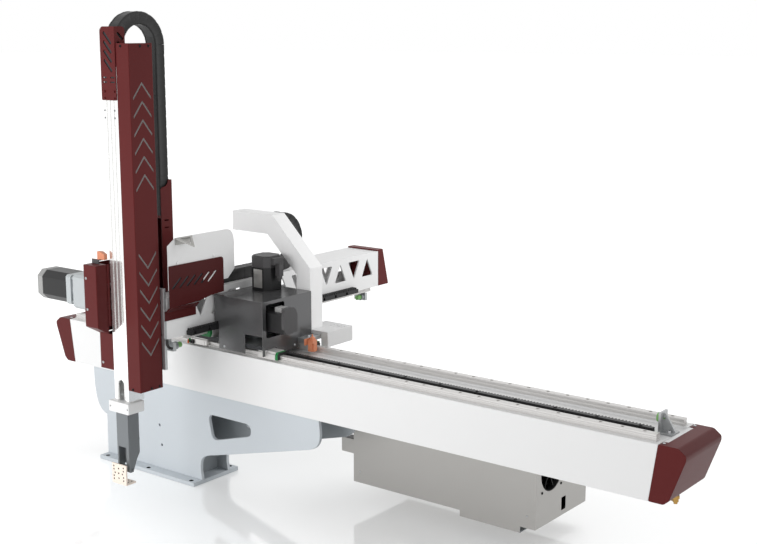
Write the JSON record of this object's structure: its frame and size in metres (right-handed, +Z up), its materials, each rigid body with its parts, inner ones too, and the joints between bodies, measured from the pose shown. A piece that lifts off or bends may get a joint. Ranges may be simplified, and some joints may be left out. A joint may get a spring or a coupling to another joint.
{
  "type": "three-axis take-out robot",
  "caption": "Three-axis servo take-out robot: traverse beam on a pedestal, carriage, crossbeam and vertical arm on rack drives, drag chains, and a flip unit with a drilled tool plate.",
  "frame": {"origin": "centre of the foundation bolt pattern on the underside of the pedestal's base plate", "axes": "+X along the traverse beam towards the electrics box's end, +Y across the beam away from the arm, +Z up"},
  "size_m": [2.327, 1.227, 1.497],
  "materials": {
    "pedestal_grey": "smooth light grey powder coat",
    "white_paint": "satin white coat on extruded aluminium",
    "white_aluminium": "fine white anodised aluminium profile",
    "wine_red": "satin wine-red powder coat",
    "rail_steel": "ground rail steel",
    "rack_steel": "dark blued rack steel",
    "gear_steel": "machined gear steel",
    "machined_grey": "fine machined aluminium",
    "cover_grey": "dark grey powder coat",
    "box_grey": "grey powder coat",
    "motor_black": "satin black motor coat",
    "gearbox_alu": "light cast aluminium",
    "flip_grey": "grey anodised aluminium",
    "cream_coat": "cream coat",
    "chain_plastic": "dark grey moulded links",
    "fan_plastic": "black moulded plastic",
    "buffer_rubber": "green elastomer",
    "seal_green": "green end seals",
    "sensor_orange": "orange plastic",
    "brass": "turned brass"
  },
  "bodies": {
    "base": {"base_plate": "pedestal_grey", "side_plate_front": "pedestal_grey", "side_plate_rear": "pedestal_grey", "pedestal_webs": "pedestal_grey", "traverse_beam": "white_paint", "beam_rails": "rail_steel", "traverse_rack": "rack_steel", "end_cap_left": "wine_red", "end_cap_right": "wine_red", "stop_left": "machined_grey", "stop_right": "machined_grey", "beam_buffers": "buffer_rubber", "air_fitting": "brass", "electrics_box": "box_grey", "box_fan": "fan_plastic"},
    "fan": {"fan_rotor": "fan_plastic"},
    "carriage": {"carriage_plate": "machined_grey", "traverse_blocks": "rail_steel", "block_seals": "seal_green", "drive_cover": "cover_grey", "traverse_servo": "motor_black", "traverse_gearbox": "gearbox_alu", "crosswise_servo": "motor_black", "crosswise_mount": "pedestal_grey", "crosswise_blocks": "rail_steel", "chain_arch": "white_paint", "chain_tray": "machined_grey", "carriage_sensor": "sensor_orange", "cross_chain_upper": "chain_plastic"},
    "traverse_pinion_body": {"traverse_pinion": "gear_steel"},
    "crosswise_pinion_body": {"crosswise_pinion": "gear_steel"},
    "lift_pinion_body": {"lift_pinion": "gear_steel"},
    "cross_chain_loop": {"cross_chain_bend": "chain_plastic"},
    "lift_chain_loop": {"lift_chain_bend": "chain_plastic"},
    "crossbeam_body": {"crossbeam": "white_paint", "crossbeam_rails": "rail_steel", "crossbeam_rack": "rack_steel", "crossbeam_cap": "wine_red", "crossbeam_buffers": "buffer_rubber", "cable_plate": "white_paint", "slotted_plate": "wine_red", "chain_mast": "wine_red", "head_plate": "pedestal_grey", "lift_servo": "motor_black", "lift_gearbox": "gearbox_alu", "gearbox_cover": "wine_red", "lift_sensor": "sensor_orange", "lift_blocks": "rail_steel", "lift_chain_fixed": "chain_plastic", "cross_chain_lower": "chain_plastic"},
    "arm": {"arm_profile": "white_aluminium", "arm_rail": "rail_steel", "arm_rack": "rack_steel", "chevron_cover": "wine_red", "top_bracket": "wine_red", "end_block": "white_paint", "flip_unit": "flip_grey", "lift_chain_moving": "chain_plastic"},
    "wrist": {"flip_lever": "flip_grey", "tool_plate": "cream_coat"}
  },
  "joints": [
    {"name": "traverse_slide", "type": "slide", "parent": "base", "child": "carriage", "axis": [1, 0, 0], "range_m": [-0.5, 1.15]},
    {"name": "crosswise_slide", "type": "slide", "parent": "carriage", "child": "crossbeam_body", "axis": [0, 1, 0], "range_m": [-0.19, 0.02], "deforming": ["cross_chain_lower", "cross_chain_upper"]},
    {"name": "lift_slide", "type": "slide", "parent": "crossbeam_body", "child": "arm", "axis": [0, 0, 1], "range_m": [-0.62, 0.03], "deforming": ["lift_chain_fixed", "lift_chain_moving"]},
    {"name": "wrist_flip", "type": "hinge", "parent": "arm", "child": "wrist", "pos_m": [0.2445, -0.394, 0.151], "axis": [1, 0, 0], "range_deg": [0, 90]},
    {"name": "traverse_pinion_spin", "type": "hinge", "parent": "carriage", "child": "traverse_pinion_body", "pos_m": [0.416, -0.0095, 0.482], "axis": [0, 0, 1], "range_deg": [-2442.4, 1063]},
    {"name": "crosswise_pinion_spin", "type": "hinge", "parent": "carriage", "child": "crosswise_pinion_body", "pos_m": [0.355, -0.058, 0.588], "axis": [1, 0, 0], "range_deg": [-405.2, 44.4]},
    {"name": "lift_pinion_spin", "type": "hinge", "parent": "crossbeam_body", "child": "lift_pinion_body", "pos_m": [0.209, -0.38, 0.678], "axis": [1, 0, 0], "range_deg": [-1317.7, 65.7]},
    {"name": "cross_chain_roll", "type": "slide", "parent": "carriage", "child": "cross_chain_loop", "axis": [0, 1, 0], "range_m": [-0.096, 0.011]},
    {"name": "lift_chain_roll", "type": "slide", "parent": "crossbeam_body", "child": "lift_chain_loop", "axis": [0, 0, 1], "range_m": [-0.311, 0.016]},
    {"name": "fan_spin", "type": "hinge", "parent": "base", "child": "fan", "pos_m": [1.357, 0.189, 0.225], "axis": [1, 0, 0], "continuous": true}
  ],
  "couplings": [
    {"joint": "traverse_pinion_spin", "follows": "traverse_slide", "rad_per_m": -37.037},
    {"joint": "crosswise_pinion_spin", "follows": "crosswise_slide", "rad_per_m": 37.037},
    {"joint": "lift_pinion_spin", "follows": "lift_slide", "rad_per_m": 37.037},
    {"joint": "cross_chain_roll", "follows": "crosswise_slide", "ratio": 0.5},
    {"joint": "lift_chain_roll", "follows": "lift_slide", "ratio": 0.5}
  ]
}
